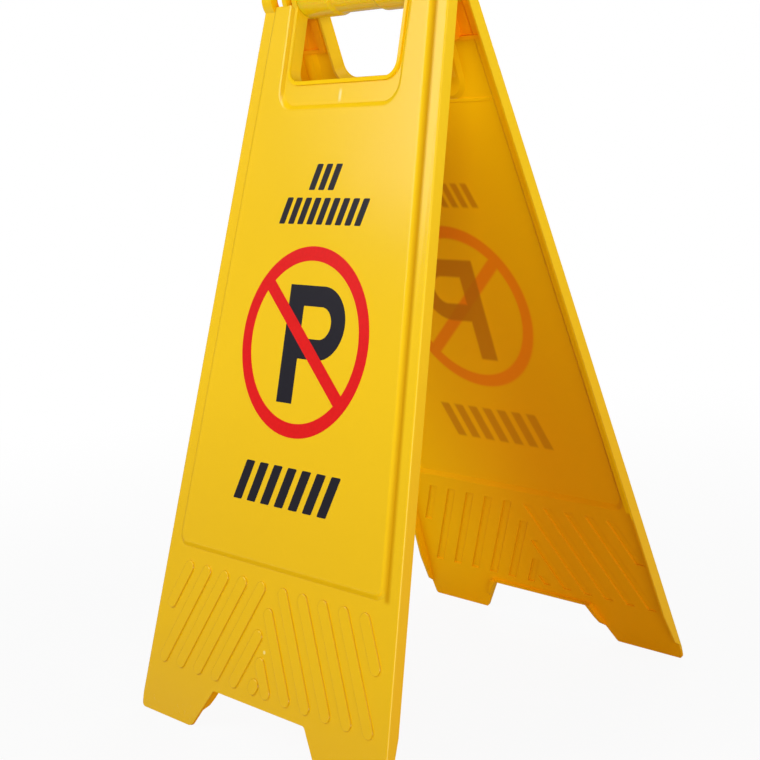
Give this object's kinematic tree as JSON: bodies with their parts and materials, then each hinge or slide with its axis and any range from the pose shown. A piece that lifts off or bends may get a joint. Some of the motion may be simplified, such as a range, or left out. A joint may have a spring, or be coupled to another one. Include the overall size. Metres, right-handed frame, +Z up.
{
  "type": "folding parking sign",
  "caption": "Free-standing folding A-frame warning sign of two moulded plastic panels hinged on a thick carrying bar, with a hand opening, raised face, foot notch and slanted cleat bars.",
  "frame": {"origin": "middle of the footprint on the floor, under the carrying bar, with the sign open", "axes": "+X along the carrying bar, -Y out of the front panel's printed face, +Z up"},
  "size_m": [0.299, 0.353, 0.5886],
  "materials": {
    "panel_plastic": "satin moulded",
    "bar_plastic": "satin moulded"
  },
  "bodies": {
    "front": {"front_panel": "panel_plastic", "handle_bar": "bar_plastic"},
    "rear": {"rear_panel": "panel_plastic"}
  },
  "joints": [
    {"name": "fold", "type": "hinge", "parent": "front", "child": "rear", "pos_m": [0, 0, 0.571], "axis": [1, 0, 0], "range_deg": [-32.2, 0]}
  ]
}
